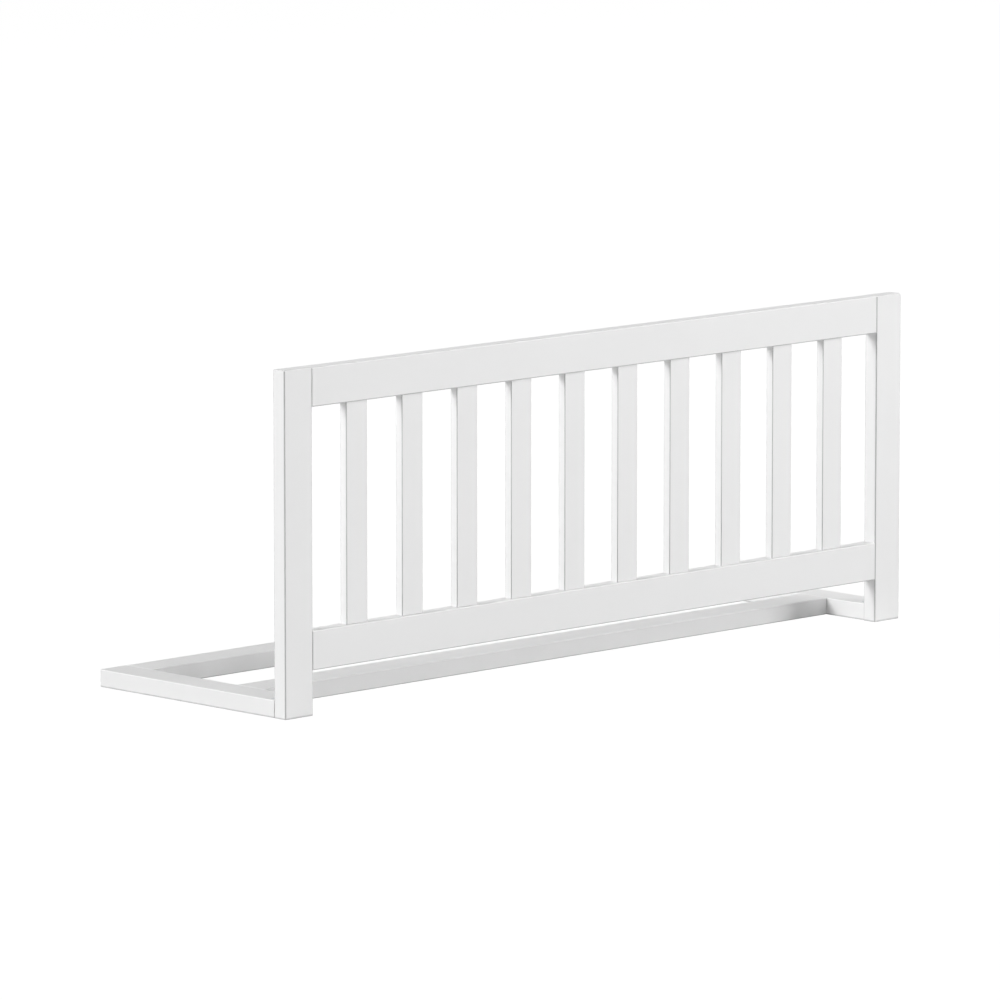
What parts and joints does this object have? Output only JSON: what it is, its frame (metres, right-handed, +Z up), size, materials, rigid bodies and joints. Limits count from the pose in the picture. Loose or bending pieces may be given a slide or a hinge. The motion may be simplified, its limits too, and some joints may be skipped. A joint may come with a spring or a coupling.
{
  "type": "folding bed guard rail",
  "caption": "Slatted wooden bed guard that folds inwards on two let-in butt hinges, down onto a flat frame that lies under the mattress.",
  "frame": {"origin": "on the floor, at the bottom centre of the whole object's box with the guard upright", "axes": "+X along the guard, to the right as seen from outside the bed; +Y from the guard's outer face towards the back of the frame that lies under the mattress; +Z up"},
  "size_m": [1.2, 0.3684, 0.468],
  "materials": {
    "white_lacquered_wood": "satin white lacquer",
    "beech_dowel": "bare beech",
    "zinc_plated_steel": "zinc-plated"
  },
  "bodies": {
    "base": {"base_arm_left": "white_lacquered_wood", "base_arm_right": "white_lacquered_wood", "base_back_rail": "white_lacquered_wood", "base_front_rail": "white_lacquered_wood", "back_rail_dowel_left_near": "beech_dowel", "back_rail_dowel_left_far": "beech_dowel", "back_rail_dowel_right_near": "beech_dowel", "back_rail_dowel_right_far": "beech_dowel", "front_rail_dowel_left_near": "beech_dowel", "front_rail_dowel_left_far": "beech_dowel", "front_rail_dowel_right_near": "beech_dowel", "front_rail_dowel_right_far": "beech_dowel", "hinge_arm_leaf_left": "zinc_plated_steel", "hinge_arm_leaf_right": "zinc_plated_steel", "hinge_pin_left": "zinc_plated_steel", "hinge_pin_right": "zinc_plated_steel", "hinge_arm_screw_left_a": "zinc_plated_steel", "hinge_arm_screw_left_b": "zinc_plated_steel", "hinge_arm_screw_right_a": "zinc_plated_steel", "hinge_arm_screw_right_b": "zinc_plated_steel"},
    "guard": {"guard_post_left": "white_lacquered_wood", "guard_post_right": "white_lacquered_wood", "guard_top_rail": "white_lacquered_wood", "guard_bottom_rail": "white_lacquered_wood", "guard_slat_01": "white_lacquered_wood", "guard_slat_02": "white_lacquered_wood", "guard_slat_03": "white_lacquered_wood", "guard_slat_04": "white_lacquered_wood", "guard_slat_05": "white_lacquered_wood", "guard_slat_06": "white_lacquered_wood", "guard_slat_07": "white_lacquered_wood", "guard_slat_08": "white_lacquered_wood", "guard_slat_09": "white_lacquered_wood", "guard_slat_10": "white_lacquered_wood", "top_rail_dowel_left_lower": "beech_dowel", "top_rail_dowel_left_upper": "beech_dowel", "top_rail_dowel_right_lower": "beech_dowel", "top_rail_dowel_right_upper": "beech_dowel", "bottom_rail_dowel_left_lower": "beech_dowel", "bottom_rail_dowel_left_upper": "beech_dowel", "bottom_rail_dowel_right_lower": "beech_dowel", "bottom_rail_dowel_right_upper": "beech_dowel", "hinge_post_leaf_left": "zinc_plated_steel", "hinge_post_leaf_right": "zinc_plated_steel", "hinge_post_screw_left_a": "zinc_plated_steel", "hinge_post_screw_left_b": "zinc_plated_steel", "hinge_post_screw_right_a": "zinc_plated_steel", "hinge_post_screw_right_b": "zinc_plated_steel"}
  },
  "joints": [
    {"name": "guard_fold", "type": "hinge", "parent": "base", "child": "guard", "pos_m": [0, -0.1608, 0.02595], "axis": [-1, 0, 0], "range_deg": [0, 90]}
  ]
}
